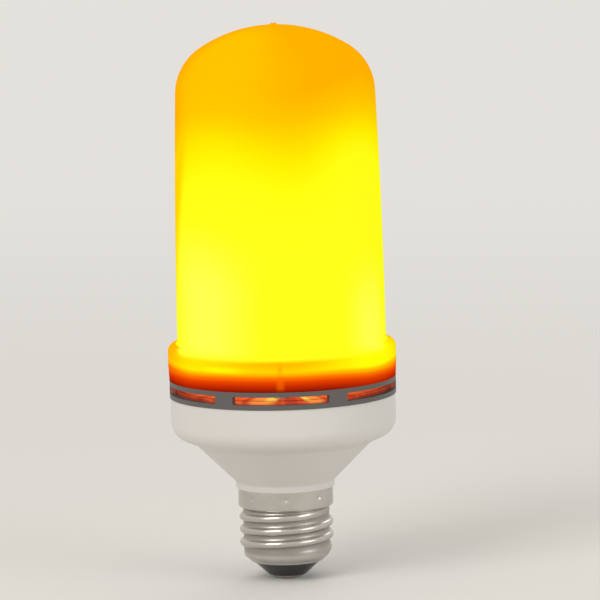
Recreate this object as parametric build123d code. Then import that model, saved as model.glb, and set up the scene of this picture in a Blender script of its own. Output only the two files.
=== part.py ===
from build123d import *
import os
from math import hypot, radians, sqrt, tan

# Flame effect LED bulb on an Edison screw cap, dome up. Sizes are in millimetres and degrees.
# The origin is the centre of the centre contact's end face, the lowest point, and +Z is up.
# The front, where the collar's key sits, faces -Y.

# Fits
fit = 0.1  # play between plastic parts that plug together
close_fit = 0.05  # play of a pin, a stem or a board edge in its seat

# Screw cap
thread_diameter = 26.4
thread_depth = 1.1
thread_pitch = 3.629
thread_round = 1.3  # radius of a rolled ridge
thread_flats = 6  # flats round the bar whose outer half is the ridge
thread_start = 8.5  # level where the lowest ridge begins
thread_length = 12.5  # from there up to the skirt
skirt_proud = 0.15  # beyond the thread's crest
skirt_height = 5.0  # up to the neck's lower edge
skirt_taper_height = 1.2  # cone between the thread's root and the skirt
shell_sheet = 0.35
shell_rim_turn = 1.8  # how far the shell's lower edge is turned in
shell_rim_level = 5.0
shell_rim_height = 2.0
crimp_count = 8
crimp_round = 1.1
crimp_depth = 0.45
crimp_drop = 2.2  # below the neck

# Insulator and centre contact
contact_diameter = 9.4
contact_bevel = 1.5
contact_height = 1.0
contact_stem_diameter = 3.2
contact_stem_proud = 0.6  # above the insulator
insulator_edge = 0.7  # flat ring of the insulator round the contact
insulator_top = 8.0

# Lower housing
neck_proud = 0.5  # beyond the shell's skirt
neck_height = 1.7
step_width = 6.55  # from the cone's upper edge out to the side
cone_height = 11.05
step_lean = 24.0  # slope of the step's underside
housing_diameter = 63.1
housing_corner = 5.0
housing_crease = 0.8  # where the cone meets the neck and the step
housing_height = 26.05  # from the neck's lower edge up
housing_wall = 1.8
spigot_gap = 3.0  # from the insulator up to the spigot
spigot_wall = 1.65
spigot_lip = 1.2
spigot_opening_diameter = 12.0
ledge_height = 3.0
upstand_height = 1.55  # above the housing's top edge
upstand_wall = 1.4
boss_count = 3
boss_diameter = 6.0
boss_angle = 30.0
boss_depth = 15.0
guide_width = 1.0
guide_depth = 1.6
guide_height = 12.0

# Vent ring
ring_proud = 0.2  # beyond the housing's side
ring_height = 4.9
ring_wall = 1.7
ring_spigot_height = 4.2
ring_spigot_wall = 1.4
slot_count = 6
slot_height = 2.3
slot_drop = 1.3  # from the ring's top edge down to the slot
slot_arc = 50.0
slot_corner = 0.5
front_angle = -90.0
bead_height = 0.3
bead_width = 1.2
bead_level = 2.4  # above the ring's top edge

# Diffuser
diffuser_wall = 1.8
collar_draft = 0.25  # how far the collar flares above its foot, which is flush with the ring
collar_draft_height = 4.6
collar_height = 10.2
collar_round = 2.2
collar_shoulder = 2.75  # from the collar's side in to the tube's foot
tube_middle_lean = 0.375  # inwards, at half the tube's height
tube_top_lean = 1.35  # inwards, at the dome's shoulder
tube_height = 70.15  # from the collar up to the dome's shoulder
dome_round = 15.4  # shoulder
dome_crown = 38.4  # crown
gate_diameter = 1.8
gate_height = 0.45
key_width = 1.3
key_depth = 1.3
key_height = 7.0

# Carrier board and its screws
board_thickness = 0.8
screw_diameter = 2.2
screw_length = 7.0
screw_head_diameter = 4.0
screw_head_height = 1.5

# Lamp column
former_diameter = 30.0
former_wall = 1.2
former_flange = 3.5  # width of the foot outside the tube
former_foot = 1.2
former_height = 68.0
peg_count = 3
peg_diameter = 2.4
peg_length = 1.6
peg_angle = 90.0
former_cap_plate = 1.2
former_cap_plug = 3.0
lamp_board_thickness = 0.4
lamp_board_gap = 3.0  # seam between the rolled board's ends
lamp_board_tail = 24.0  # arc of the tail that reaches the carrier board
tail_play = 2.0  # degrees more in the notch that the tail passes
led_rows = 11
led_columns = 9
led_row_pitch = 6.0
led_width = 2.8
led_length = 3.5
led_depth = 0.8

# Moulded packages: body as length, width and height, then its legs' pitch and width
leg_reach = 1.0
leg_sheet = 0.2
leg_knee = 0.6  # share of the package's height that a leg rises
controller_legs = 16
controller_package = (9.9, 3.9, 1.5, 1.27, 0.42)
controller_y = -4.5
bridge_legs = 4
bridge_package = (4.7, 3.8, 1.6, 2.5, 0.6)
driver_legs = 8
driver_package = (4.9, 3.9, 1.5, 1.27, 0.42)
diode_legs = 2
diode_package = (2.6, 4.3, 2.1, 1.0, 1.4)

# Supply board and its parts. A rise is a height above the board's lower edge.
driver_edge_play = 0.4  # beside the board, in the spigot's bore
driver_top_play = 0.4  # above the board, under the carrier board
driver_thickness = 1.2
input_capacitor_diameter = 8.0
input_capacitor_length = 12.0
input_capacitor_rise = 3.3
output_capacitor_diameter = 6.3
output_capacitor_length = 8.0
output_capacitor_drop = 2.4  # from the pin block down to the can
capacitor_bevel = 0.4
lead_side = 0.6
choke_diameter = 8.0
choke_length = 8.6
choke_post_diameter = 3.4
choke_flange = 1.0
choke_winding_drop = 0.5  # below the flanges' edge
bridge_rise = 18.8
driver_chip_rise = 25.8
diode_rise = 32.3
fuse_diameter = 3.6
fuse_length = 8.0
fuse_bevel = 0.7
fuse_rise = 3.3
fuse_place = (-3.0, -3.3)
fuse_lead_low = 1.5  # below the fuse resistor's body
fuse_lead_high = 2.0  # above it
pin_side = 0.64
pin_pitch = 2.54
pin_count = 3
pin_block = 2.5
pin_drop = 0.8  # from the supply board's upper edge down to the pin block
pin_proud = 1.4
switch_diameter = 4.8
switch_length = 7.5
switch_y = 5.0
wire_diameter = 1.2
wire_flats = 8  # flats that make up a lead's round section
live_straight = 2.0  # of the live lead below the fuse resistor
live_rise = 1.8  # of the live lead above the contact's stem
neutral_across = 4.2  # where the neutral lead leaves the supply board
neutral_rise = 10.8
neutral_stand_off = 2.4  # from the supply board's back

# Levels and radii that follow from the sizes above
skirt_bottom = thread_start + thread_length
cap_height = skirt_bottom + skirt_height
neck_bottom = cap_height
spigot_bottom = insulator_top + spigot_gap
neutral_level = insulator_top + spigot_gap / 2
housing_top = neck_bottom + housing_height
ring_top = housing_top + ring_height
collar_top = ring_top + collar_height
board_seat = housing_top + upstand_height
board_top = board_seat + board_thickness
lip_top = spigot_bottom + spigot_lip
driver_height = board_seat - driver_top_play - lip_top
pin_block_low = lip_top + driver_height - pin_drop - pin_block
input_capacitor_level = lip_top + input_capacitor_rise
output_capacitor_level = pin_block_low - output_capacitor_drop - output_capacitor_length
choke_level = (input_capacitor_level + input_capacitor_length + output_capacitor_level) / 2
fuse_level = lip_top + fuse_rise
skirt_radius = thread_diameter / 2 + skirt_proud
root_radius = thread_diameter / 2 - thread_depth
neck_radius = skirt_radius + neck_proud
spigot_bore = root_radius - shell_sheet - fit - spigot_wall
driver_width = 2 * (spigot_bore - driver_edge_play)
housing_radius = housing_diameter / 2
housing_inside = housing_radius - housing_wall
ring_radius = housing_radius + ring_proud
ring_bore = ring_radius - ring_wall
collar_radius = ring_radius + collar_draft
collar_inside = ring_radius - diffuser_wall
tube_radius = collar_radius - collar_shoulder
ring_spigot_radius = collar_inside - fit
upstand_radius = ring_bore - fit
board_radius = upstand_radius - close_fit
former_radius = former_diameter / 2
former_foot_radius = former_radius + former_flange
foot_top = board_top + former_foot
former_top = board_top + former_height
lamp_board_radius = former_radius + lamp_board_thickness
peg_circle_radius = (lamp_board_radius + former_foot_radius) / 2
boss_circle_radius = (former_foot_radius + board_radius) / 2
stem_top = insulator_top + contact_stem_proud
front_face = driver_thickness / 2


# Helpers
def turned(*lines):
    """Solid of revolution about Z from the lines of a closed half section in (radius, level)."""
    section = Plane.XZ * make_face(Wire(Curve() + list(lines)))
    return revolve(section, Axis.Z)


def turned_corners(*points):
    """Solid of revolution about Z from the corners of a closed half section."""
    return turned(Polyline(*points, close=True))


def washer(inner, outer, low, high):
    """Ring with a rectangular section."""
    return turned_corners((inner, low), (outer, low), (outer, high), (inner, high))


def disc(radius, low, high):
    return Pos(0, 0, low) * Cylinder(radius, high - low, align=(Align.CENTER, Align.CENTER, Align.MIN))


def sector(radius, low, high, middle, arc):
    """Wedge of a disc, centred on the angle middle."""
    start = Rot(0, 0, middle - arc / 2)
    face = Plane.XZ * Pos(radius / 2, (low + high) / 2) * Rectangle(radius, high - low)
    return start * revolve(face, Axis.Z, arc)


def around(shape, count, first=0.0):
    """Copies of a shape, evenly spaced about Z."""
    return [Rot(0, 0, first + 360 / count * k) * shape for k in range(count)]


def inset(points, distance):
    """Corners of an open line moved to its left by a distance, with its corners kept sharp."""
    moved = []
    for (r0, z0), (r1, z1) in zip(points, points[1:]):
        length = hypot(r1 - r0, z1 - z0)
        side = (-(z1 - z0) / length * distance, (r1 - r0) / length * distance)
        moved.append(((r0 + side[0], z0 + side[1]), (r1 + side[0], z1 + side[1])))
    corners = [moved[0][0]]
    for (a, b), (c, d) in zip(moved, moved[1:]):
        run_a = (b[0] - a[0], b[1] - a[1])
        run_c = (d[0] - c[0], d[1] - c[1])
        cross = run_a[0] * run_c[1] - run_a[1] * run_c[0]
        t = ((c[0] - a[0]) * run_c[1] - (c[1] - a[1]) * run_c[0]) / cross
        corners.append((a[0] + t * run_a[0], a[1] + t * run_a[1]))
    corners.append(moved[-1][1])
    return corners


def wire(points, bend):
    """Insulated lead along straight runs joined by tangent arcs."""
    pieces = []
    for edge in FilletPolyline(*points, radius=bend).edges():
        section = Plane(origin=edge @ 0, z_dir=edge % 0) * RegularPolygon(wire_diameter / 2, wire_flats)
        if edge.geom_type == GeomType.CIRCLE:
            axis = Axis(edge.arc_center, (edge % 0).cross(edge % 1))
            pieces.append(revolve(section, axis, (edge % 0).get_angle(edge % 1)))
        else:
            pieces.append(extrude(section, edge.length))
    return pieces[0] + pieces[1:]


def lead(*points):
    """Stiff square lead whose runs, along the axes, meet at sharp corners."""
    pieces = []
    for a, b in zip(points, points[1:]):
        middle = [(p + q) / 2 for p, q in zip(a, b)]
        size = [abs(p - q) + lead_side for p, q in zip(a, b)]
        pieces.append(Pos(*middle) * Box(*size))
    return pieces[0] + pieces[1:]


def block(width, depth, height):
    """Box that stands on its seat, centred on it."""
    return Box(width, depth, height, align=(Align.CENTER, Align.CENTER, Align.MIN))


def chip(legs, length, width, height, pitch, leg_width):
    """Moulded package standing on its board, with legs on its two long sides."""
    body = Pos(0, 0, leg_sheet / 2) * block(length, width, height)
    per_side = legs // 2
    for k in range(per_side):
        x = (k - (per_side - 1) / 2) * pitch
        for way in (-1, 1):
            foot_y = way * (width / 2 + leg_reach / 2)
            knee_y = way * (width / 2 + leg_sheet / 2)
            body += Pos(x, foot_y, 0) * block(leg_width, leg_reach, leg_sheet)
            body += Pos(x, knee_y, 0) * block(leg_width, leg_sheet, height * leg_knee)
    return body


def on_front(x, level):
    """Seat on the supply board's front face."""
    return Plane(origin=(x, front_face, level), x_dir=(1, 0, 0), z_dir=(0, 1, 0)).location


def on_back(x, level):
    """Seat on the supply board's back face."""
    return Plane(origin=(x, -front_face, level), x_dir=(-1, 0, 0), z_dir=(0, -1, 0)).location


# Screw cap
def shell_outline():
    """Outside of the screw shell without its ridges, from the rim up."""
    return [
        (root_radius - shell_rim_turn, shell_rim_level),
        (root_radius, shell_rim_level + shell_rim_height),
        (root_radius, skirt_bottom - skirt_taper_height),
        (skirt_radius, skirt_bottom),
        (skirt_radius, cap_height),
    ]


def ridge(round_size):
    """Right-handed helical bar whose outer half is the rolled ridge."""
    centre_radius = thread_diameter / 2 - thread_round
    path = Helix(thread_pitch, skirt_bottom - thread_start, centre_radius, center=(0, 0, thread_start))
    start = Plane(origin=path @ 0, x_dir=(1, 0, 0), z_dir=path % 0)
    section = RegularPolygon(round_size, thread_flats, major_radius=False, rotation=180 / thread_flats)
    return sweep(start * section, path=path, is_frenet=True)


def crimps(radius):
    """Balls that press the shell's skirt into the spigot."""
    ball = Pos(skirt_radius + crimp_round - crimp_depth, 0, cap_height - crimp_drop) * Sphere(radius)
    return around(ball, crimp_count)


def screw_shell():
    outside = shell_outline()
    inside = inset(outside, shell_sheet)
    hollow = turned_corners(*inside, (0, cap_height), (0, inside[0][1]))
    shell = turned_corners(*outside, (0, cap_height), (0, shell_rim_level)) + ridge(thread_round)
    shell -= hollow
    shell -= ridge(thread_round - shell_sheet)
    rim_mouth = disc(inside[0][0], shell_rim_level, inside[0][1])
    shell -= rim_mouth
    for ball in crimps(crimp_round + shell_sheet):
        shell += ball & disc(skirt_radius, skirt_bottom, cap_height)
    return shell - crimps(crimp_round)


def cap_insulator():
    seat = inset(shell_outline(), shell_sheet + close_fit)
    bore = contact_stem_diameter / 2 + close_fit
    return turned_corners(
        (bore, contact_height),
        (contact_diameter / 2 + insulator_edge, contact_height),
        seat[0],
        seat[1],
        (seat[1][0], insulator_top),
        (bore, insulator_top),
    )


def centre_contact():
    edge = contact_diameter / 2
    flat = edge - contact_bevel
    shoulder = (edge - contact_bevel / 4, contact_height / 2)
    button = turned_corners((0, 0), (flat, 0), shoulder, (edge, contact_height), (0, contact_height))
    return button + disc(contact_stem_diameter / 2, contact_height / 2, stem_top)


# Lower housing
def housing_outline():
    """Outside of the housing, from the neck's lower edge up."""
    cone_top_level = neck_bottom + neck_height + cone_height
    corner_level = cone_top_level + step_width * tan(radians(step_lean))
    return [
        (neck_radius, neck_bottom),
        (neck_radius, neck_bottom + neck_height),
        (housing_radius - step_width, cone_top_level),
        (housing_radius, corner_level),
        (housing_radius, housing_top),
    ]


def housing_solid():
    """The housing's outer form, filled."""
    corners = housing_outline()
    skin = FilletPolyline(*corners, radius=[housing_crease, housing_crease, housing_corner])
    return turned(skin, Polyline(corners[-1], (0, housing_top), (0, neck_bottom), corners[0]))


def housing_hollow():
    """The space inside the housing, down through the spigot's bore."""
    corners = inset(housing_outline()[1:], housing_wall)
    foot, step = corners[0], corners[1]
    slope = (step[1] - foot[1]) / (step[0] - foot[0])
    mouth = (spigot_bore, foot[1] - (foot[0] - spigot_bore) * slope)
    return turned_corners((0, lip_top), (spigot_bore, lip_top), mouth, *corners[1:], (0, housing_top))


def spigot():
    """Stepped plug that the screw shell is pushed over."""
    seat = inset(shell_outline(), shell_sheet + fit)
    root, taper, skirt = seat[1][0], seat[2], seat[3]
    top = neck_bottom + fit
    return turned_corners((0, spigot_bottom), (root, spigot_bottom), taper, skirt, (skirt[0], top), (0, top))


def lower_housing():
    body = housing_solid() + spigot() - crimps(crimp_round + shell_sheet + fit) - housing_hollow()
    body -= disc(spigot_opening_diameter / 2, spigot_bottom, lip_top)
    ledge_inside = upstand_radius - upstand_wall
    body += washer(ledge_inside, housing_inside + fit, housing_top - ledge_height, housing_top)
    body += washer(ledge_inside, upstand_radius, housing_top, board_seat)
    post = Pos(boss_circle_radius, 0) * disc(boss_diameter / 2, board_seat - boss_depth, board_seat)
    envelope = housing_solid() + disc(upstand_radius, housing_top, board_seat)
    for trimmed in around(post & envelope, boss_count, boss_angle):
        body += trimmed
    pilot = Pos(boss_circle_radius, 0) * disc(
        screw_diameter / 2 + close_fit, board_top - screw_length - screw_diameter, board_seat
    )
    for hole in around(pilot, boss_count, boss_angle):
        body -= hole
    for side in (-1, 1):
        for face in (-1, 1):
            x = side * (spigot_bore - guide_depth / 2)
            y = face * (driver_thickness / 2 + close_fit + guide_width / 2)
            rib = block(guide_depth + spigot_wall, guide_width, guide_height)
            body += Pos(x, y, lip_top) * rib & disc(spigot_bore + fit, lip_top, neck_bottom)
    return body


# Vent ring
def vent_slot():
    """Cutter for one slot, centred on +X."""
    middle = ring_top - slot_drop - slot_height / 2
    reach = ring_wall + 2 * fit
    section = Pos(ring_bore - fit + reach / 2, middle) * Rectangle(reach, slot_height)
    cut = Rot(0, 0, -slot_arc / 2) * revolve(Plane.XZ * section, Axis.Z, slot_arc)
    ends = cut.edges().filter_by(GeomType.LINE).filter_by(lambda e: abs((e % 0).Z) < 0.5)
    return fillet(ends, slot_corner)


def snap_bead(radius, level, play):
    """Bead round a spigot, grown by the play on every side for its groove."""
    half = bead_width / 2 + play
    return turned_corners(
        (radius - bead_height, level - half),
        (radius, level - half),
        (radius + bead_height + play, level - half / 3),
        (radius + bead_height + play, level + half / 3),
        (radius, level + half),
        (radius - bead_height, level + half),
    )


def vent_ring():
    spigot_inside = ring_spigot_radius - ring_spigot_wall
    rim_low = ring_top - (slot_drop - slot_corner)
    band = washer(ring_bore, ring_radius, housing_top, ring_top)
    band += washer(spigot_inside, ring_radius, rim_low, ring_top)
    band += washer(spigot_inside, ring_spigot_radius, rim_low, ring_top + ring_spigot_height)
    band += snap_bead(ring_spigot_radius, ring_top + bead_level, 0)
    for slot in around(vent_slot(), slot_count, front_angle):
        band -= slot
    notch = Pos(ring_spigot_radius, 0, ring_top) * block(
        2 * (ring_spigot_wall + fit), key_width + 2 * fit, ring_spigot_height
    )
    return band - Rot(0, 0, front_angle) * notch


# Diffuser
def dome_arcs(depth):
    """Outline of the tube and dome, moved in by a depth: side, shoulder and crown, then the apex level."""
    foot = (tube_radius, collar_top)
    middle = (tube_radius - tube_middle_lean, collar_top + tube_height / 2)
    top = (tube_radius - tube_top_lean, collar_top + tube_height)
    lean = ThreePointArc(foot, middle, top) % 1
    out = (lean.Y, -lean.X)
    centre = (top[0] - dome_round * out[0], top[1] - dome_round * out[1])
    between_centres = dome_crown - dome_round
    crown_level = centre[1] - sqrt(between_centres**2 - centre[0] ** 2)
    to_shoulder = (centre[0] / between_centres, (centre[1] - crown_level) / between_centres)

    def between(a, b):
        length = hypot(a[0] + b[0], a[1] + b[1])
        return ((a[0] + b[0]) / length, (a[1] + b[1]) / length)

    def at(origin, radius, way):
        return (origin[0] + radius * way[0], origin[1] + radius * way[1])

    shoulder = dome_round - depth
    crown = dome_crown - depth
    axis_point = (0, crown_level)
    side_top = at(centre, shoulder, out)
    crown_start = at(axis_point, crown, to_shoulder)
    apex = (0, crown_level + crown)
    side = ThreePointArc((foot[0] - depth, foot[1]), (middle[0] - depth, middle[1]), side_top)
    corner = ThreePointArc(side_top, at(centre, shoulder, between(out, to_shoulder)), crown_start)
    cap = ThreePointArc(crown_start, at(axis_point, crown, between(to_shoulder, (0, 1))), apex)
    return [side, corner, cap], apex[1]


def dome_solid(depth, low):
    """Tube and dome as a solid, moved in by a depth, and carried straight down to a level."""
    arcs, apex = dome_arcs(depth)
    foot = tube_radius - depth
    return turned(*arcs, Polyline((0, apex), (0, low), (foot, low), (foot, collar_top)))


def collar_solid():
    foot = (ring_radius, ring_top)
    flare = (collar_radius, ring_top + collar_draft_height)
    rim = FilletPolyline(foot, flare, (collar_radius, collar_top), (0, collar_top), radius=[0, collar_round])
    return turned(rim, Polyline((0, collar_top), (0, ring_top), foot))


def diffuser():
    flange_under = collar_top - diffuser_wall
    shell = dome_solid(0, collar_top - diffuser_wall) + collar_solid()
    arcs, apex = dome_arcs(0)
    shell += disc(gate_diameter / 2, apex - diffuser_wall / 2, apex + gate_height)
    shell -= dome_solid(diffuser_wall, ring_top)
    shell -= disc(collar_inside, ring_top, flange_under)
    shell -= snap_bead(ring_spigot_radius, ring_top + bead_level, fit)
    root = bead_height + 2 * fit
    key = block(key_depth + root, key_width, key_height)
    return shell + Rot(0, 0, front_angle) * Pos(collar_inside + (root - key_depth) / 2, 0, ring_top) * key


# Carrier board
def carrier_board():
    board = disc(board_radius, board_seat, board_top)
    screw_hole = disc(screw_diameter / 2 + fit, board_seat, board_top)
    peg_hole = disc(peg_diameter / 2 + close_fit, board_seat, board_top)
    cuts = around(Pos(boss_circle_radius, 0) * screw_hole, boss_count, boss_angle)
    cuts += around(Pos(peg_circle_radius, 0) * peg_hole, peg_count, peg_angle)
    for x in pin_places():
        side = pin_side + 2 * close_fit
        cuts.append(Pos(x, pin_y(), board_seat) * block(side, side, board_thickness))
    for cut in cuts:
        board -= cut
    return board


def carrier_screws():
    head = screw_head_diameter / 2
    head_top = board_top + screw_head_height
    shank = screw_diameter / 2
    tip = board_top - screw_length
    bevel = screw_head_height / 2
    screw = turned_corners(
        (0, tip),
        (shank, tip + shank),
        (shank, board_top),
        (head, board_top),
        (head, head_top - bevel),
        (head - bevel, head_top),
        (0, head_top),
    )
    return Compound(around(Pos(boss_circle_radius, 0) * screw, boss_count, boss_angle))


# Lamp column
def tail_notch(play):
    """Room for the rolled board's tail in the former's foot."""
    return sector(former_foot_radius + fit, board_top, foot_top, front_angle, lamp_board_tail + play)


def board_former():
    tube = washer(former_radius - former_wall, former_radius, board_top, former_top)
    foot = washer(former_radius - former_wall, former_foot_radius, board_top, foot_top)
    foot -= tail_notch(tail_play)
    former = tube + foot
    peg = Pos(peg_circle_radius, 0) * disc(peg_diameter / 2, board_top - peg_length, foot_top)
    for one in around(peg, peg_count, peg_angle):
        former += one
    return former


def former_cap():
    plug = former_radius - former_wall - close_fit
    return disc(lamp_board_radius, former_top, former_top + former_cap_plate) + disc(
        plug, former_top - former_cap_plug, former_top + former_cap_plate / 2
    )


def led_tube_board():
    sheet = washer(former_radius, lamp_board_radius, foot_top, former_top)
    sheet -= sector(former_diameter, foot_top, former_top, front_angle + 180, lamp_board_gap)
    tail = washer(former_radius, lamp_board_radius, board_top, foot_top) & tail_notch(0.0)
    return sheet + tail


def led_row(row):
    margin = (former_top - foot_top - (led_rows - 1) * led_row_pitch) / 2
    level = foot_top + margin + row * led_row_pitch
    package = Pos(lamp_board_radius + led_depth / 2, 0, level) * Box(led_depth, led_width, led_length)
    return Compound(around(package, led_columns, front_angle))


def controller_chip():
    return Pos(0, controller_y, board_top) * chip(controller_legs, *controller_package)


def tilt_switch():
    axis_level = board_top + switch_diameter / 2
    half = switch_length / 2
    can = Pos(0, switch_y, axis_level) * Rot(0, 90, 0) * Cylinder(switch_diameter / 2, switch_length)
    for way in (-1, 1):
        start = (way * (half - lead_side), switch_y, axis_level)
        corner = (way * (half + lead_side), switch_y, axis_level)
        end = (way * (half + lead_side), switch_y, board_top + lead_side / 2)
        can += lead(start, corner, end)
    return can


# Supply board
def driver_board():
    return Pos(0, 0, lip_top) * block(driver_width, driver_thickness, driver_height)


def pin_places():
    return [(k - (pin_count - 1) / 2) * pin_pitch for k in range(pin_count)]


def pin_y():
    return front_face + pin_block / 2


def power_pins():
    header = Pos(0, pin_y(), pin_block_low) * block(pin_count * pin_pitch, pin_block, pin_block)
    for x in pin_places():
        height = board_top + pin_proud - pin_block_low
        header += Pos(x, pin_y(), pin_block_low) * block(pin_side, pin_side, height)
    return header


def lying_capacitor(diameter, length, low):
    """Electrolytic can lying on the supply board's front, with its two leads bent into the board."""
    radius = diameter / 2
    high = low + length
    y = front_face + radius
    can = Pos(0, y) * turned_corners(
        (0, low), (radius, low), (radius, high - capacitor_bevel), (radius - capacitor_bevel, high), (0, high)
    )
    for way in (-1, 1):
        x = way * lead_side * 2
        knee = low - lead_side
        can += lead((x, y, low + lead_side), (x, y, knee), (x, front_face + lead_side / 2, knee))
    return can


def input_capacitor():
    return lying_capacitor(input_capacitor_diameter, input_capacitor_length, input_capacitor_level)


def output_capacitor():
    return lying_capacitor(output_capacitor_diameter, output_capacitor_length, output_capacitor_level)


def choke_core():
    radius = choke_diameter / 2
    core = disc(radius, 0, choke_flange) + disc(choke_post_diameter / 2, 0, choke_length)
    core += disc(radius, choke_length - choke_flange, choke_length)
    return on_front(0, choke_level) * core


def choke_winding():
    coil = washer(
        choke_post_diameter / 2 + close_fit,
        choke_diameter / 2 - choke_winding_drop,
        choke_flange + close_fit,
        choke_length - choke_flange - close_fit,
    )
    return on_front(0, choke_level) * coil


def bridge_rectifier():
    return on_back(0, lip_top + bridge_rise) * chip(bridge_legs, *bridge_package)


def driver_chip():
    return on_back(0, lip_top + driver_chip_rise) * chip(driver_legs, *driver_package)


def fast_diode():
    return on_back(0, lip_top + diode_rise) * Rot(0, 0, 90) * chip(diode_legs, *diode_package)


def fuse_foot():
    """Level where the fuse resistor's lower lead meets the live lead."""
    return fuse_level - fuse_lead_low


def fuse_resistor():
    x, y = fuse_place
    radius = fuse_diameter / 2
    top = fuse_level + fuse_length
    body = turned_corners(
        (0, fuse_level),
        (radius - fuse_bevel, fuse_level),
        (radius, fuse_level + fuse_bevel),
        (radius, top - fuse_bevel),
        (radius - fuse_bevel, top),
        (0, top),
    )
    lead_end = top + fuse_lead_high
    fuse = Pos(x, y) * body + lead((x, y, fuse_level + lead_side), (x, y, fuse_foot() + lead_side / 2))
    return fuse + lead((x, y, top - lead_side), (x, y, lead_end), (x, -front_face - lead_side / 2, lead_end))


def live_wire():
    """Insulated lead from the centre contact's stem up to the fuse resistor."""
    x, y = fuse_place
    top = fuse_foot()
    points = [(x, y, top), (x, y, top - live_straight), (0, 0, stem_top + live_rise), (0, 0, stem_top)]
    return wire(points, wire_diameter)


def neutral_wire():
    """Insulated lead from the supply board's back down to the inside of the screw shell."""
    x, y = neutral_across, -front_face - neutral_stand_off
    level = lip_top + neutral_rise
    reach = root_radius - shell_sheet - close_fit
    away = hypot(x, y)
    end = (x / away * reach, y / away * reach, neutral_level)
    points = [(x, -front_face, level), (x, y, level), (x, y, neutral_level), end]
    return wire(points, wire_diameter)


# All the parts, by the names of their files
parts = {
    "screw_shell": screw_shell(),
    "cap_insulator": cap_insulator(),
    "centre_contact": centre_contact(),
    "lower_housing": lower_housing(),
    "vent_ring": vent_ring(),
    "diffuser": diffuser(),
    "carrier_board": carrier_board(),
    "carrier_screws": carrier_screws(),
    "board_former": board_former(),
    "former_cap": former_cap(),
    "led_tube_board": led_tube_board(),
    "controller_chip": controller_chip(),
    "tilt_switch": tilt_switch(),
    "driver_board": driver_board(),
    "power_pins": power_pins(),
    "input_capacitor": input_capacitor(),
    "output_capacitor": output_capacitor(),
    "choke_core": choke_core(),
    "choke_winding": choke_winding(),
    "bridge_rectifier": bridge_rectifier(),
    "driver_chip": driver_chip(),
    "fast_diode": fast_diode(),
    "fuse_resistor": fuse_resistor(),
    "live_wire": live_wire(),
    "neutral_wire": neutral_wire(),
}
for row in range(led_rows):
    parts[f"led_row_{row + 1:02d}"] = led_row(row)

os.makedirs("parts", exist_ok=True)
for name, shape in parts.items():
    export_step(shape, f"parts/{name}.step")
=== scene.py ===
"""Looks of a flame effect LED bulb, lit, standing on its centre contact on a pale floor.

Lengths are in metres unless a comment says otherwise, and levels are heights above the floor.
The front, where the collar's key sits, faces -Y. Angles round the axis are counted from there,
with the picture's right side positive.
"""

import math

import bmesh
import bpy
from mathutils import Matrix, Vector


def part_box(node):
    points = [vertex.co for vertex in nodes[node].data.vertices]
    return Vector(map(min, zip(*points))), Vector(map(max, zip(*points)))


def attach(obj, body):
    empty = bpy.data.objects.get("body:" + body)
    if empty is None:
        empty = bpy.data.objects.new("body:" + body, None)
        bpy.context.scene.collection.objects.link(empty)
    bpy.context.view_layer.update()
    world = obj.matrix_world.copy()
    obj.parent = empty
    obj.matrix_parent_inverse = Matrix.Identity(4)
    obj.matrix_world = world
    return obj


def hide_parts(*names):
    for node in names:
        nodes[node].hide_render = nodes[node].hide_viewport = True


MM = 0.001
DEG = math.radians(1)

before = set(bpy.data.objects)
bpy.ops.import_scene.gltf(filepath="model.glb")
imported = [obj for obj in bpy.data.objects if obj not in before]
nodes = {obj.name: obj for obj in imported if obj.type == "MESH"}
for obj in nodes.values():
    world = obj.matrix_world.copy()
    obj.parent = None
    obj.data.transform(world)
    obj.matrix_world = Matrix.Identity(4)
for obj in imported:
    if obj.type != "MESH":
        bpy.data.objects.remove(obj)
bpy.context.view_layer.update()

# Sizes read from the frame
cap_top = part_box("screw_shell")[1].z
skirt_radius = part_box("screw_shell")[1].x
collar_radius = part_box("diffuser")[1].x
board_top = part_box("carrier_board")[1].z
board_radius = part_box("carrier_board")[1].x

# Screw shell with its rolled thread
thread_pitch = 3.629 * MM
thread_arc = 1.025 * MM  # radius of crest and valley
crest_radius = 13.2 * MM
root_radius = 12.1 * MM
thread_start, thread_end = 8.5 * MM, 21.0 * MM
rise_turns = 0.35  # before and after the thread's start, over which the ridge rises
sink_turns = (0.35, 0.84)  # before the thread's end: has sunk back, and begins to sink
shell_sheet = 0.35 * MM
rim_level, rim_height, rim_turn = 5.0 * MM, 2.0 * MM, 1.8 * MM
rim_curve = 0.8
skirt_height = 5.0 * MM
taper_height = 1.2 * MM  # up to the skirt
crimp_count = 8
crimp_drop, crimp_depth, crimp_size = 2.2 * MM, 0.42 * MM, 0.62 * MM
shell_columns, shell_rows, inner_row = 160, 210, 5

# Where the painted shade in the thread's valleys begins and where it is full, in millimetres
valley_reach = (root_radius / MM + 0.65, root_radius / MM + 0.05)
valley_level = (7.2, 8.4)


def srgb(red, green, blue):
    """Linear colour from red, green and blue of 0 to 255."""

    def linear(value):
        share = value / 255
        return share / 12.92 if share <= 0.04045 else ((share + 0.055) / 1.055) ** 2.4

    return (linear(red), linear(green), linear(blue), 1.0)


def toned(colour, share=1.0):
    """Opaque linear colour at a share of its brightness."""
    return tuple(share * c for c in colour) + (1.0,)


PALE = srgb(228, 225, 220)

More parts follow.
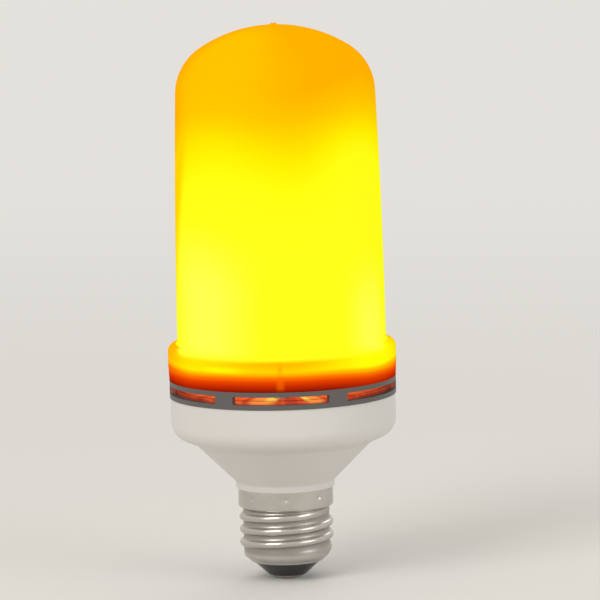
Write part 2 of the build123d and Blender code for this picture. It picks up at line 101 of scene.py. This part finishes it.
# Colours of the lit shell, the last two by level in millimetres
DOME_GOLD = srgb(255, 197, 0)
TONGUE_GOLD = srgb(255, 209, 0)
CORE_YELLOW = srgb(255, 255, 80)
BAND_YELLOW = srgb(255, 255, 8)
SHADED_ORANGE = srgb(255, 172, 0)
KEY_ORANGE = srgb(255, 112, 0)
FLAME = [
    (94.0, (255, 255, 28)),
    (110.0, (255, 255, 20)),
    (119.0, (255, 238, 2)),
    (125.3, (255, 217, 0)),
    (131.6, (255, 195, 0)),
    (139.0, (255, 175, 0)),
]
COLLAR = [
    (56.95, (122, 19, 0)),
    (58.6, (196, 43, 0)),
    (59.8, (230, 66, 0)),
    (61.0, (254, 116, 0)),
    (62.0, (255, 184, 0)),
    (62.8, (255, 208, 0)),
    (64.4, (255, 187, 0)),
]

# Colours of the painted light behind the slots, and the brown tones painted where it falls on the board
# and the upstand
GLOW_DARK = srgb(186, 56, 30)
GLOW_LIGHT = srgb(236, 92, 44)
GLOW_MIDDLE = srgb(178, 54, 30)
GLOW_ORANGE = srgb(252, 146, 66)
GLOW_HOT = srgb(255, 208, 84)
GLOW_SIDES = srgb(120, 24, 6)
GLOW_UNDER = srgb(84, 14, 5)
GLOW_END = srgb(150, 44, 20)
BOARD_GLOW_BROWN = srgb(120, 44, 24)
UPSTAND_GLOW_BROWN = srgb(120, 40, 20)


# Shader helpers
class Value:
    """What a node gives out. Signs between values, or a value and a number, add Math nodes."""

    def __init__(self, owner, socket):
        self.owner = owner
        self.socket = socket

    def __add__(self, other):
        return self.owner.math("ADD", self, other)

    def __sub__(self, other):
        return self.owner.math("SUBTRACT", self, other)

    def __rsub__(self, other):
        return self.owner.math("SUBTRACT", other, self)

    def __mul__(self, other):
        return self.owner.math("MULTIPLY", self, other)

    def __truediv__(self, other):
        return self.owner.math("DIVIDE", self, other)

    def __pow__(self, other):
        return self.owner.math("POWER", self, other)

    def __abs__(self):
        return self.owner.math("ABSOLUTE", self)


class NodeTree:
    """A node tree with short ways to add nodes to it."""

    def __init__(self, tree):
        self.tree = tree

    def node(self, kind, *inputs, **settings):
        """New node with its settings and its first inputs."""
        made = self.tree.nodes.new(kind)
        for key, value in settings.items():
            setattr(made, key, value)
        for socket, value in zip(made.inputs, inputs):
            self.plug(socket, value)
        return made

    def plug(self, socket, value):
        if isinstance(value, Value):
            self.tree.links.new(value.socket, socket)
        else:
            socket.default_value = value

    def output(self, node, which=0):
        return Value(self, node.outputs[which])

    def math(self, operation, *values, clamp=False):
        return self.output(self.node("ShaderNodeMath", *values, operation=operation, use_clamp=clamp))

    def seen_directly(self):
        """1 for camera, glossy and transmission rays, which see the plain background."""
        path = self.node("ShaderNodeLightPath")
        rays = self.output(path, "Is Camera Ray")
        for other in ("Is Glossy Ray", "Is Transmission Ray"):
            rays = self.math("MAXIMUM", rays, self.output(path, other))
        return rays

    def mix_shaders(self, share, first, second, end):
        """Blends two shaders into the tree's end node."""
        blend = self.node("ShaderNodeMixShader", share, self.output(first), self.output(second))
        self.plug(self.tree.nodes[end].inputs[0], self.output(blend))


class Shader(NodeTree):
    """A material's node tree."""

    def __init__(self, name):
        self.material = bpy.data.materials.new(name)
        self.material.use_nodes = True
        super().__init__(self.material.node_tree)
        self.surface = self.tree.nodes["Principled BSDF"]

    def set(self, **values):
        for name, value in values.items():
            self.plug(self.surface.inputs[name.replace("_", " ")], value)

    def base_colour(self):
        return Value(self, self.surface.inputs["Base Color"].links[0].from_socket)

    def sine(self, value):
        return self.math("SINE", value)

    def cosine(self, value):
        return self.math("COSINE", value)

    def mix(self, share, first, second, blend="MIX"):
        made = self.node("ShaderNodeMix", data_type="RGBA", blend_type=blend)
        self.plug(made.inputs[0], share)
        self.plug(made.inputs[6], first)
        self.plug(made.inputs[7], second)
        return self.output(made, 2)

    def step(self, value, start, end):
        """0 before start and 1 after end, turning smoothly between them."""
        inputs = (value, start, end, 0.0, 1.0)
        return self.output(self.node("ShaderNodeMapRange", *inputs, interpolation_type="SMOOTHSTEP"))

    def band(self, value, start, full, fading, end):
        """1 from full to fading, and 0 before start and after end."""
        return self.step(value, start, full) * self.step(value, end, fading)

    def near(self, angle, middle, outer, inner):
        """1 nearer to the middle than inner and 0 beyond outer, with these three in degrees."""
        return self.step(abs(angle - middle * DEG), outer * DEG, inner * DEG)

    def ramp(self, value, stops):
        """Colour by value, from (position, sRGB colour) stops."""
        low_end, high_end = stops[0][0], stops[-1][0]
        made = self.node("ShaderNodeValToRGB", (value - low_end) / (high_end - low_end))
        ends = made.color_ramp.elements
        while len(ends) < len(stops):
            ends.new(0.5)
        for end, (place, colour) in zip(ends, stops):
            end.position = (place - low_end) / (high_end - low_end)
            end.color = srgb(*colour)
        return self.output(made)

    def place(self):
        return self.output(self.node("ShaderNodeTexCoord"), "Object")

    def cylinder(self):
        """Angle from the front, radius and level, the last two in millimetres."""
        split = self.node("ShaderNodeSeparateXYZ", self.place())
        x, y, z = [self.output(split, k) for k in range(3)]
        angle = self.math("ARCTAN2", x, y * -1.0)
        reach = self.math("SQRT", x * x + y * y)
        return angle, reach / MM, z / MM

    def round_way(self, angle, size, height=0.0):
        """Place on a circle by angle, so that a noise over it has no seam."""
        x, y = self.sine(angle) * size, self.cosine(angle) * size
        return self.output(self.node("ShaderNodeCombineXYZ", x, y, height))

    def noise(self, scale, detail=2.0, roughness=0.5, vector=None):
        """Noise over the object, with its scale per metre, or over another vector."""
        made = self.node("ShaderNodeTexNoise")
        self.plug(made.inputs["Scale"], scale)
        self.plug(made.inputs["Detail"], detail)
        self.plug(made.inputs["Roughness"], roughness)
        self.plug(made.inputs["Vector"], vector or self.place())
        return self.output(made, "Fac")

    def bump(self, height, distance, strength):
        made = self.node("ShaderNodeBump")
        self.plug(made.inputs["Strength"], strength)
        self.plug(made.inputs["Distance"], distance)
        self.plug(made.inputs["Height"], height)
        self.set(Normal=self.output(made))


# Materials, in which levels and radii are in millimetres
def flame_colour(s, angle, reach, level):
    """Flame yellow below, turning orange over tongues of flame, with two pale cores low down."""
    swing = s.sine(angle)

    # The flames' upper edge lies higher over tongues and on the right, and dips on the left
    tongues = s.cosine(angle * 4.0 - 36 * DEG)
    dip = s.near(angle, -95, 40, 8)
    right = s.band(angle, 12 * DEG, 48 * DEG, 58 * DEG, 110 * DEG) * s.step(level, 134.0, 120.0)
    lift = swing * 0.5 + 2.05 - tongues * 2.35 - dip * 9.0 + right * 6.0
    flame = s.ramp(level - lift * s.step(level, 80.0, 108.0), FLAME)

    # The dome is a lighter gold on its left front and right back, but not at its crown
    gold = s.step(s.sine(angle * 2.0), 1.0, -1.0) * s.step(abs(s.cosine(angle)), 0.08, 0.62)
    gold = gold * s.step(level, 126.0, 138.0) * s.step(reach, 1.0, 16.0)
    flame = s.mix(gold * 0.75, flame, DOME_GOLD)

    # An orange tongue hangs down on the left, narrower towards its end
    narrow = (abs(angle + 98 * DEG) / (23 * DEG)) ** 2.5 * 17.0
    flame = s.mix(s.step(level - narrow, 60.0, 97.0), flame, TONGUE_GOLD, "DARKEN")

    # The pale cores lie to the left and right of the front
    core = s.near(angle, -45, 40, 2) + s.near(angle, 60, 24, 0) * 0.95
    core = core * s.step(level, 65.0, 68.0) * s.step(level + swing * 6.0, 100.0, 78.0)
    return s.mix(core, flame, CORE_YELLOW)


def collar_colour(s, angle, level):
    """The collar is shaded downwards, less so over the tongues, and has a yellow band above."""
    swing = s.sine(angle)
    aside = abs(angle)
    left = abs(angle + 98 * DEG)
    left_end = s.step(left, 46 * DEG, 16 * DEG)

    # How far the shade's colours lie below their levels in the list
    lobes = (0.5 - s.cosine(aside * 3.3) * 0.5) * s.step(left, 8 * DEG, 48 * DEG)
    shade = s.band(level, 60.3, 61.4, 62.6, 64.2)
    ends = s.step(aside - swing * (8 * DEG), 50 * DEG, 74 * DEG) * s.step(level, 61.5, 60.3)
    lower = lobes**3.0 * (swing * 0.28 + 0.7) - left_end * shade * 0.6 + ends * (swing * 0.15 + 0.35)
    collar = s.ramp(level + lower, COLLAR)

    # Yellow comes through over the tongues, and a little more on the left front
    fill = s.math("MULTIPLY", lobes, swing * 0.35 + 0.8, clamp=True)
    fill = fill * s.step(level + lower - swing * 0.15, 62.1, 63.2)
    extra = s.near(angle, -30, 16, 3) * s.band(level, 61.7, 62.5, 63.0, 64.2)
    fill = s.math("ADD", fill, extra * 0.4, clamp=True)
    collar = s.mix(fill, collar, BAND_YELLOW)
    return s.mix(left_end * s.step(level, 61.8, 63.0) * 0.55, collar, SHADED_ORANGE)


def key_mark(s, colour, angle, level):
    """The key inside the collar shows through it, brighter than the shade and darker than the band."""
    side = abs(angle) * (collar_radius / MM)
    bright = s.step(side, 1.7, 0.2) * s.band(level, 56.9, 58.4, 60.6, 62.4)
    dark = s.step(side, 1.2, 0.2) * s.band(level, 61.4, 62.6, 63.8, 65.4)
    return s.mix(dark * 0.7, s.mix(bright * 0.45, colour, KEY_ORANGE), SHADED_ORANGE)


def frosted_light():
    """The lit shell: flames in the tube and dome, and a shaded collar."""
    s = Shader("frosted_shell_lit")
    angle, reach, level = s.cylinder()

    # The collar's shade ends on its shoulder, higher up at the sides, and at the tube
    shoulder = s.step(abs(angle), 58 * DEG, 76 * DEG) * 2.2
    above = s.math("MAXIMUM", s.step(level - shoulder, 64.8, 66.4), s.step(reach, 30.0, 29.4))
    colour = s.mix(above, collar_colour(s, angle, level), flame_colour(s, angle, reach, level))
    colour = key_mark(s, colour, angle, level)
    # Painted light and shade: the base colour is the glow's own pattern, the collar's shade included, at
    # 0.35 of its brightness
    s.set(
        Base_Color=s.mix(1.0, colour, toned((0.35, 0.35, 0.35)), "MULTIPLY"),
        Emission_Color=colour,
        Emission_Strength=0.7,
        Roughness=0.6,
        Specular_IOR_Level=0.0,
    )
    s.bump(s.noise(2600.0), 0.02 * MM, 0.35)
    return s.material


def slot_light(s, angle, level):
    """Colour of the light behind the slots: two hot spots in front, dimmer at the sides and below."""

    def spot(middle, half):
        return s.near(angle, middle, half, 0.3 * half)

    board = board_top / MM
    patches = s.noise(1.0, vector=s.round_way(angle, 14.0))
    colour = s.mix(s.step(patches, 0.35, 0.65), GLOW_DARK, GLOW_LIGHT)
    colour = s.mix(spot(5.5, 6.0), colour, GLOW_MIDDLE)
    colour = s.mix(s.math("ADD", spot(-10.5, 9.0), spot(18.5, 6.5), clamp=True), colour, GLOW_ORANGE)
    hot = s.math("ADD", spot(-5.5, 5.0), spot(14.5, 2.6), clamp=True)
    colour = s.mix(hot * s.step(level, board - 0.35, board - 0.05), colour, GLOW_HOT)
    across = abs(s.sine(angle))
    sides = s.step(across, math.sin(62 * DEG), 1.0)
    colour = s.mix(sides * 0.6, colour, GLOW_SIDES)
    under = s.step(across, math.sin(34 * DEG), math.sin(50 * DEG))
    under = under * s.step(level, board - 0.05, board - 0.5)
    return s.mix(under * 0.8, colour, GLOW_UNDER)


def slot_end_glow(s):
    """Painted light on the end walls of the side slots, for the light they catch."""
    angle, reach, level = s.cylinder()
    slot_bottom, slot_top, ring_reach, blend = 53.3, 55.7, 31.7, 0.2
    end = s.step(abs(s.sine(angle)), math.sin(80 * DEG), math.sin(84 * DEG))
    inside = s.band(level, slot_bottom, slot_bottom + blend, slot_top - blend, slot_top)
    inside = inside * s.step(reach, ring_reach, ring_reach - blend)
    s.set(Emission_Color=GLOW_END, Emission_Strength=end * inside * 0.6)


def upstand_glow(s):
    """Painted glow: the housing's upstand, behind the slots, is tinted brown and glows with the painted
    light that falls on the board's edge.
    """
    angle, reach, level = s.cylinder()
    upstand_bottom, upstand_reach = 52.2, 30.8
    behind = s.step(level, upstand_bottom, upstand_bottom + 0.3)
    behind = behind * s.step(reach, upstand_reach, upstand_reach - 0.5)
    s.set(
        Base_Color=s.mix(behind, s.base_colour(), UPSTAND_GLOW_BROWN),
        Emission_Color=slot_light(s, angle, level),
        Emission_Strength=behind * 0.55,
    )


def moulded_plastic(name, colour, roughness, grain, glow):
    """Moulded plastic with a fine spark-eroded grain and faint flow marks, and the painted glow that
    glow adds.
    """
    s = Shader(name)
    flow = s.noise(45.0, 3.0)
    s.set(
        Base_Color=s.mix(flow * 0.10, toned(colour), toned(colour, 0.8)),
        Roughness=flow * 0.12 + (roughness - 0.06),
    )
    s.bump(s.noise(3200.0, 3.0, 0.6), 0.03 * MM, grain)
    glow(s)
    return s.material


def plated_metal(name, colour, roughness, shaded_valleys=False):
    """Plated metal with fine turning marks and dull spots, and with painted shade in its thread's
    valleys when asked.
    """
    s = Shader(name)
    angle, reach, level = s.cylinder()
    turning = s.noise(3.0, 3.0, 0.6, s.round_way(angle, 0.4, level * 9.0))
    cloud = s.noise(160.0, 4.0, 0.6)
    tone = s.mix(cloud, toned(colour), toned(colour, 0.72))
    dull = cloud * 0.16
    if shaded_valleys:
        # Painted shade: darker and a little rougher in the thread's valleys
        valley_shade = s.step(reach, *valley_reach) * s.step(level, *valley_level)
        tone = s.mix(valley_shade * 0.55, tone, toned(colour, 0.35))
        dull = dull + valley_shade * 0.12
    s.set(Base_Color=tone, Metallic=1.0, Roughness=dull + roughness)
    s.bump(turning, 0.01 * MM, 0.15)
    return s.material


def lit_board(name):
    """White board, tinted brown and given a painted glow for the lamps' light above it, glowing less
    round the rim of its upper face.
    """
    s = Shader(name)
    angle, reach, level = s.cylinder()
    rim, top = board_radius / MM, board_top / MM
    dim_rim = s.step(reach, rim - 1.2, rim - 0.9) * s.step(level, top - 0.2, top)
    s.set(
        Base_Color=BOARD_GLOW_BROWN,
        Roughness=0.7,
        Specular_IOR_Level=0.1,
        Emission_Color=slot_light(s, angle, level),
        Emission_Strength=0.9 - dim_rim * 0.5,
    )
    return s.material


def plain_finish(name, colour, roughness, metallic=0.0):
    """Small part with little of it seen: an even finish with faint clouds."""
    s = Shader(name)
    clouds = s.noise(400.0, 3.0) * 0.3
    tone = s.mix(clouds, toned(colour), toned(colour, 0.7))
    s.set(Base_Color=tone, Metallic=metallic, Roughness=roughness)
    return s


def bare_floor():
    """Pale floor that carries the part's shadow near it and is plain background further off."""
    s = Shader("floor_pale")
    s.set(Base_Color=PALE, Roughness=0.8, Specular_IOR_Level=0.1)
    away = s.node("ShaderNodeVectorMath", s.place(), operation="LENGTH")
    far = s.step(s.output(away, "Value"), 0.25, 1.1)
    plain = s.node("ShaderNodeEmission", PALE)
    s.mix_shaders(far * s.seen_directly(), s.surface, plain, "Material Output")
    return s.material


# Meshes
def linked(name, data):
    """Object in the scene from a mesh, camera or light."""
    made = bpy.data.objects.new(name, data)
    bpy.context.scene.collection.objects.link(made)
    return made


def finished(name, mesh, material):
    """Object from a mesh, with smooth shading where its faces meet at less than 40 degrees."""
    bmesh.ops.recalc_face_normals(mesh, faces=mesh.faces)
    data = bpy.data.meshes.new(name)
    mesh.to_mesh(data)
    mesh.free()
    data.shade_smooth()
    data.set_sharp_from_angle(angle=40 * DEG)
    data.materials.append(material)
    return linked(name, data)


def soft_step(value, start, end):
    share = min(1.0, max(0.0, (value - start) / (end - start)))
    return share * share * (3 - 2 * share)


def ridge_height(turn, level):
    """How far the rolled ridge stands above the root at an angle, in turns, and a level."""
    along = (level - thread_start) / thread_pitch - turn
    nearest = round(along)
    aside = abs(along - nearest) * thread_pitch
    if aside < thread_pitch / 4:
        height = crest_radius - root_radius - thread_arc + math.sqrt(thread_arc**2 - aside**2)
    else:
        height = thread_arc - math.sqrt(max(0.0, thread_arc**2 - (thread_pitch / 2 - aside) ** 2))
    turns = nearest + turn
    last = (thread_end - thread_start) / thread_pitch
    risen = soft_step(turns, -rise_turns, rise_turns)
    return height * risen * soft_step(turns, last - sink_turns[0], last - sink_turns[1])


def crimp_dent(turn, level):
    """How deep the crimps press the skirt in."""
    away = (turn * crimp_count + 0.5) % 1 - 0.5
    across = away / crimp_count * 2 * math.pi * skirt_radius
    distance = math.hypot(across, level - (cap_top - crimp_drop))
    return crimp_depth * math.exp(-((distance / crimp_size) ** 2))


def shell_radius(turn, level):
    """Outside radius of the screw shell."""
    rim_top = rim_level + rim_height
    if level < rim_top:
        return root_radius - rim_turn * (1 - soft_step(level, rim_level, rim_top) ** rim_curve)
    skirt_bottom = cap_top - skirt_height
    taper = soft_step(level, skirt_bottom - taper_height, skirt_bottom)
    base = root_radius + (skirt_radius - root_radius) * taper
    return max(base, root_radius + ridge_height(turn, level)) - crimp_dent(turn, level)


def screw_shell():
    """Thin rolled shell: its outside from the rim up, then its inside back down."""
    profile = [(row, 0.0) for row in range(shell_rows + 1)]
    profile += [(row, shell_sheet) for row in range(shell_rows, -1, -inner_row)]
    mesh = bmesh.new()
    rings = []
    for row, wall in profile:
        level = rim_level + (cap_top - rim_level) * row / shell_rows
        ring = []
        for k in range(shell_columns):
            reach = shell_radius(k / shell_columns, level) - wall
            t = 2 * math.pi * k / shell_columns
            ring.append(mesh.verts.new((reach * math.cos(t), reach * math.sin(t), level)))
        rings.append(ring)
    for below, above in zip(rings, rings[1:] + rings[:1]):
        for k in range(shell_columns):
            after = (k + 1) % shell_columns
            mesh.faces.new((below[k], below[after], above[after], above[k]))
    nickel = plated_metal("nickel_plate_rolled", (0.66, 0.63, 0.58), 0.17, shaded_valleys=True)
    shell = finished("thread_shell", mesh, nickel)
    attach(shell, "root")
    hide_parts("screw_shell")


screw_shell()


# Materials of the carried-over nodes
def dress(material, *names):
    """Gives nodes their material."""
    for name in names:
        for part in nodes[name].material_slots:
            part.material = material


dress(frosted_light(), "diffuser")
dress(moulded_plastic("housing_plastic", (0.70, 0.67, 0.63), 0.38, 0.2, upstand_glow), "lower_housing")
dress(moulded_plastic("ring_plastic", (0.105, 0.098, 0.092), 0.5, 0.4, slot_end_glow), "vent_ring")
dress(plated_metal("contact_tinned", (0.72, 0.70, 0.66), 0.3), "centre_contact")
dress(lit_board("carrier_board_lit"), "carrier_board")
dress(lit_board("lamp_board_lit"), "led_tube_board")

chips = ["controller_chip", "driver_chip", "bridge_rectifier", "fast_diode", "power_pins"]
plain_parts = [
    # Material, colour, roughness, metallic, nodes
    ("insulator_black", (0.02, 0.02, 0.022), 0.22, 0.0, ["cap_insulator"]),
    ("screw_steel_bright", (0.6, 0.58, 0.55), 0.3, 1.0, ["carrier_screws"]),
    ("former_white", (0.75, 0.72, 0.68), 0.5, 0.0, ["board_former", "former_cap"]),
    ("chip_black", (0.03, 0.03, 0.03), 0.5, 0.0, chips),
    ("can_metal_bright", (0.7, 0.7, 0.7), 0.3, 1.0, ["tilt_switch"]),
    ("board_green", (0.03, 0.16, 0.06), 0.4, 0.0, ["driver_board"]),
    ("capacitor_sleeve", (0.03, 0.04, 0.08), 0.35, 0.0, ["input_capacitor", "output_capacitor"]),
    ("ferrite_grey", (0.07, 0.07, 0.07), 0.6, 0.0, ["choke_core"]),
    ("copper_wire", (0.75, 0.32, 0.14), 0.35, 1.0, ["choke_winding"]),
    ("resistor_body", (0.10, 0.32, 0.26), 0.45, 0.0, ["fuse_resistor"]),
    ("lead_white", (0.75, 0.75, 0.72), 0.45, 0.0, ["live_wire"]),
    ("lead_black", (0.02, 0.02, 0.02), 0.45, 0.0, ["neutral_wire"]),
]
for material_name, colour, roughness, metallic, part_names in plain_parts:
    dress(plain_finish(material_name, colour, roughness, metallic).material, *part_names)

lamp = plain_finish("led_package", (0.8, 0.6, 0.2), 0.35)
lamp.set(Emission_Color=srgb(255, 176, 60), Emission_Strength=1.0)
dress(lamp.material, *[name for name in nodes if name.startswith("led_row_")])


# Floor, camera and light
def make_floor():
    side = 12.0
    mesh = bmesh.new()
    bmesh.ops.create_grid(mesh, x_segments=1, y_segments=1, size=side / 2)
    finished("floor", mesh, bare_floor())


def make_camera():
    """Camera at the photograph's viewing angle, a little wider so that the whole cap shows."""
    distance, height = 1.4835, 0.27175
    azimuth, down, pan, roll = 1.25 * DEG, 7.426 * DEG, 0.21 * DEG, 1.496 * DEG
    photo_lens, widening = 333.9, 0.96
    data = bpy.data.cameras.new("camera")
    data.sensor_width = 36.0
    data.lens = photo_lens * widening
    data.clip_start, data.clip_end = 0.05, 50.0
    camera = linked("camera", data)
    turn = Matrix.Rotation(azimuth - pan, 4, "Z") @ Matrix.Rotation(90 * DEG - down, 4, "X")
    turn = turn @ Matrix.Rotation(-roll, 4, "Z")
    place = Vector((distance * math.sin(azimuth), -distance * math.cos(azimuth), height))
    camera.matrix_world = Matrix.Translation(place) @ turn
    bpy.context.scene.camera = camera


def area_light(name, place, size, power, colour):
    """Soft light that faces the bulb's middle."""
    middle = Vector((0, 0, 0.08))
    data = bpy.data.lights.new(name, "AREA")
    data.shape = "RECTANGLE"
    data.size, data.size_y = size
    data.energy = power
    data.color = colour
    light = linked(name, data)
    light.location = place
    light.rotation_euler = (middle - Vector(place)).to_track_quat("-Z", "Y").to_euler()


def make_world():
    """Even light for the object. Rays that see the background directly find the pale one instead."""
    world = bpy.data.worlds.new("studio")
    bpy.context.scene.world = world
    world.use_nodes = True
    studio = NodeTree(world.node_tree)
    light = studio.tree.nodes["Background"]
    light.inputs["Color"].default_value = (1.0, 1.0, 1.0, 1.0)
    light.inputs["Strength"].default_value = 0.6
    backdrop = studio.node("ShaderNodeBackground", PALE, 1.0)
    studio.mix_shaders(studio.seen_directly(), light, backdrop, "World Output")


make_floor()
make_camera()
area_light("key", (-0.9, -1.1, 1.1), (0.9, 0.9), 12.0, (1.0, 0.98, 0.95))
area_light("fill", (1.2, -0.8, 0.6), (0.9, 0.9), 4.5, (0.96, 0.98, 1.0))
area_light("back", (0.3, 1.2, 0.9), (0.9, 0.5), 3.0, (1.0, 1.0, 1.0))
make_world()
bpy.context.scene.view_settings.view_transform = "Standard"
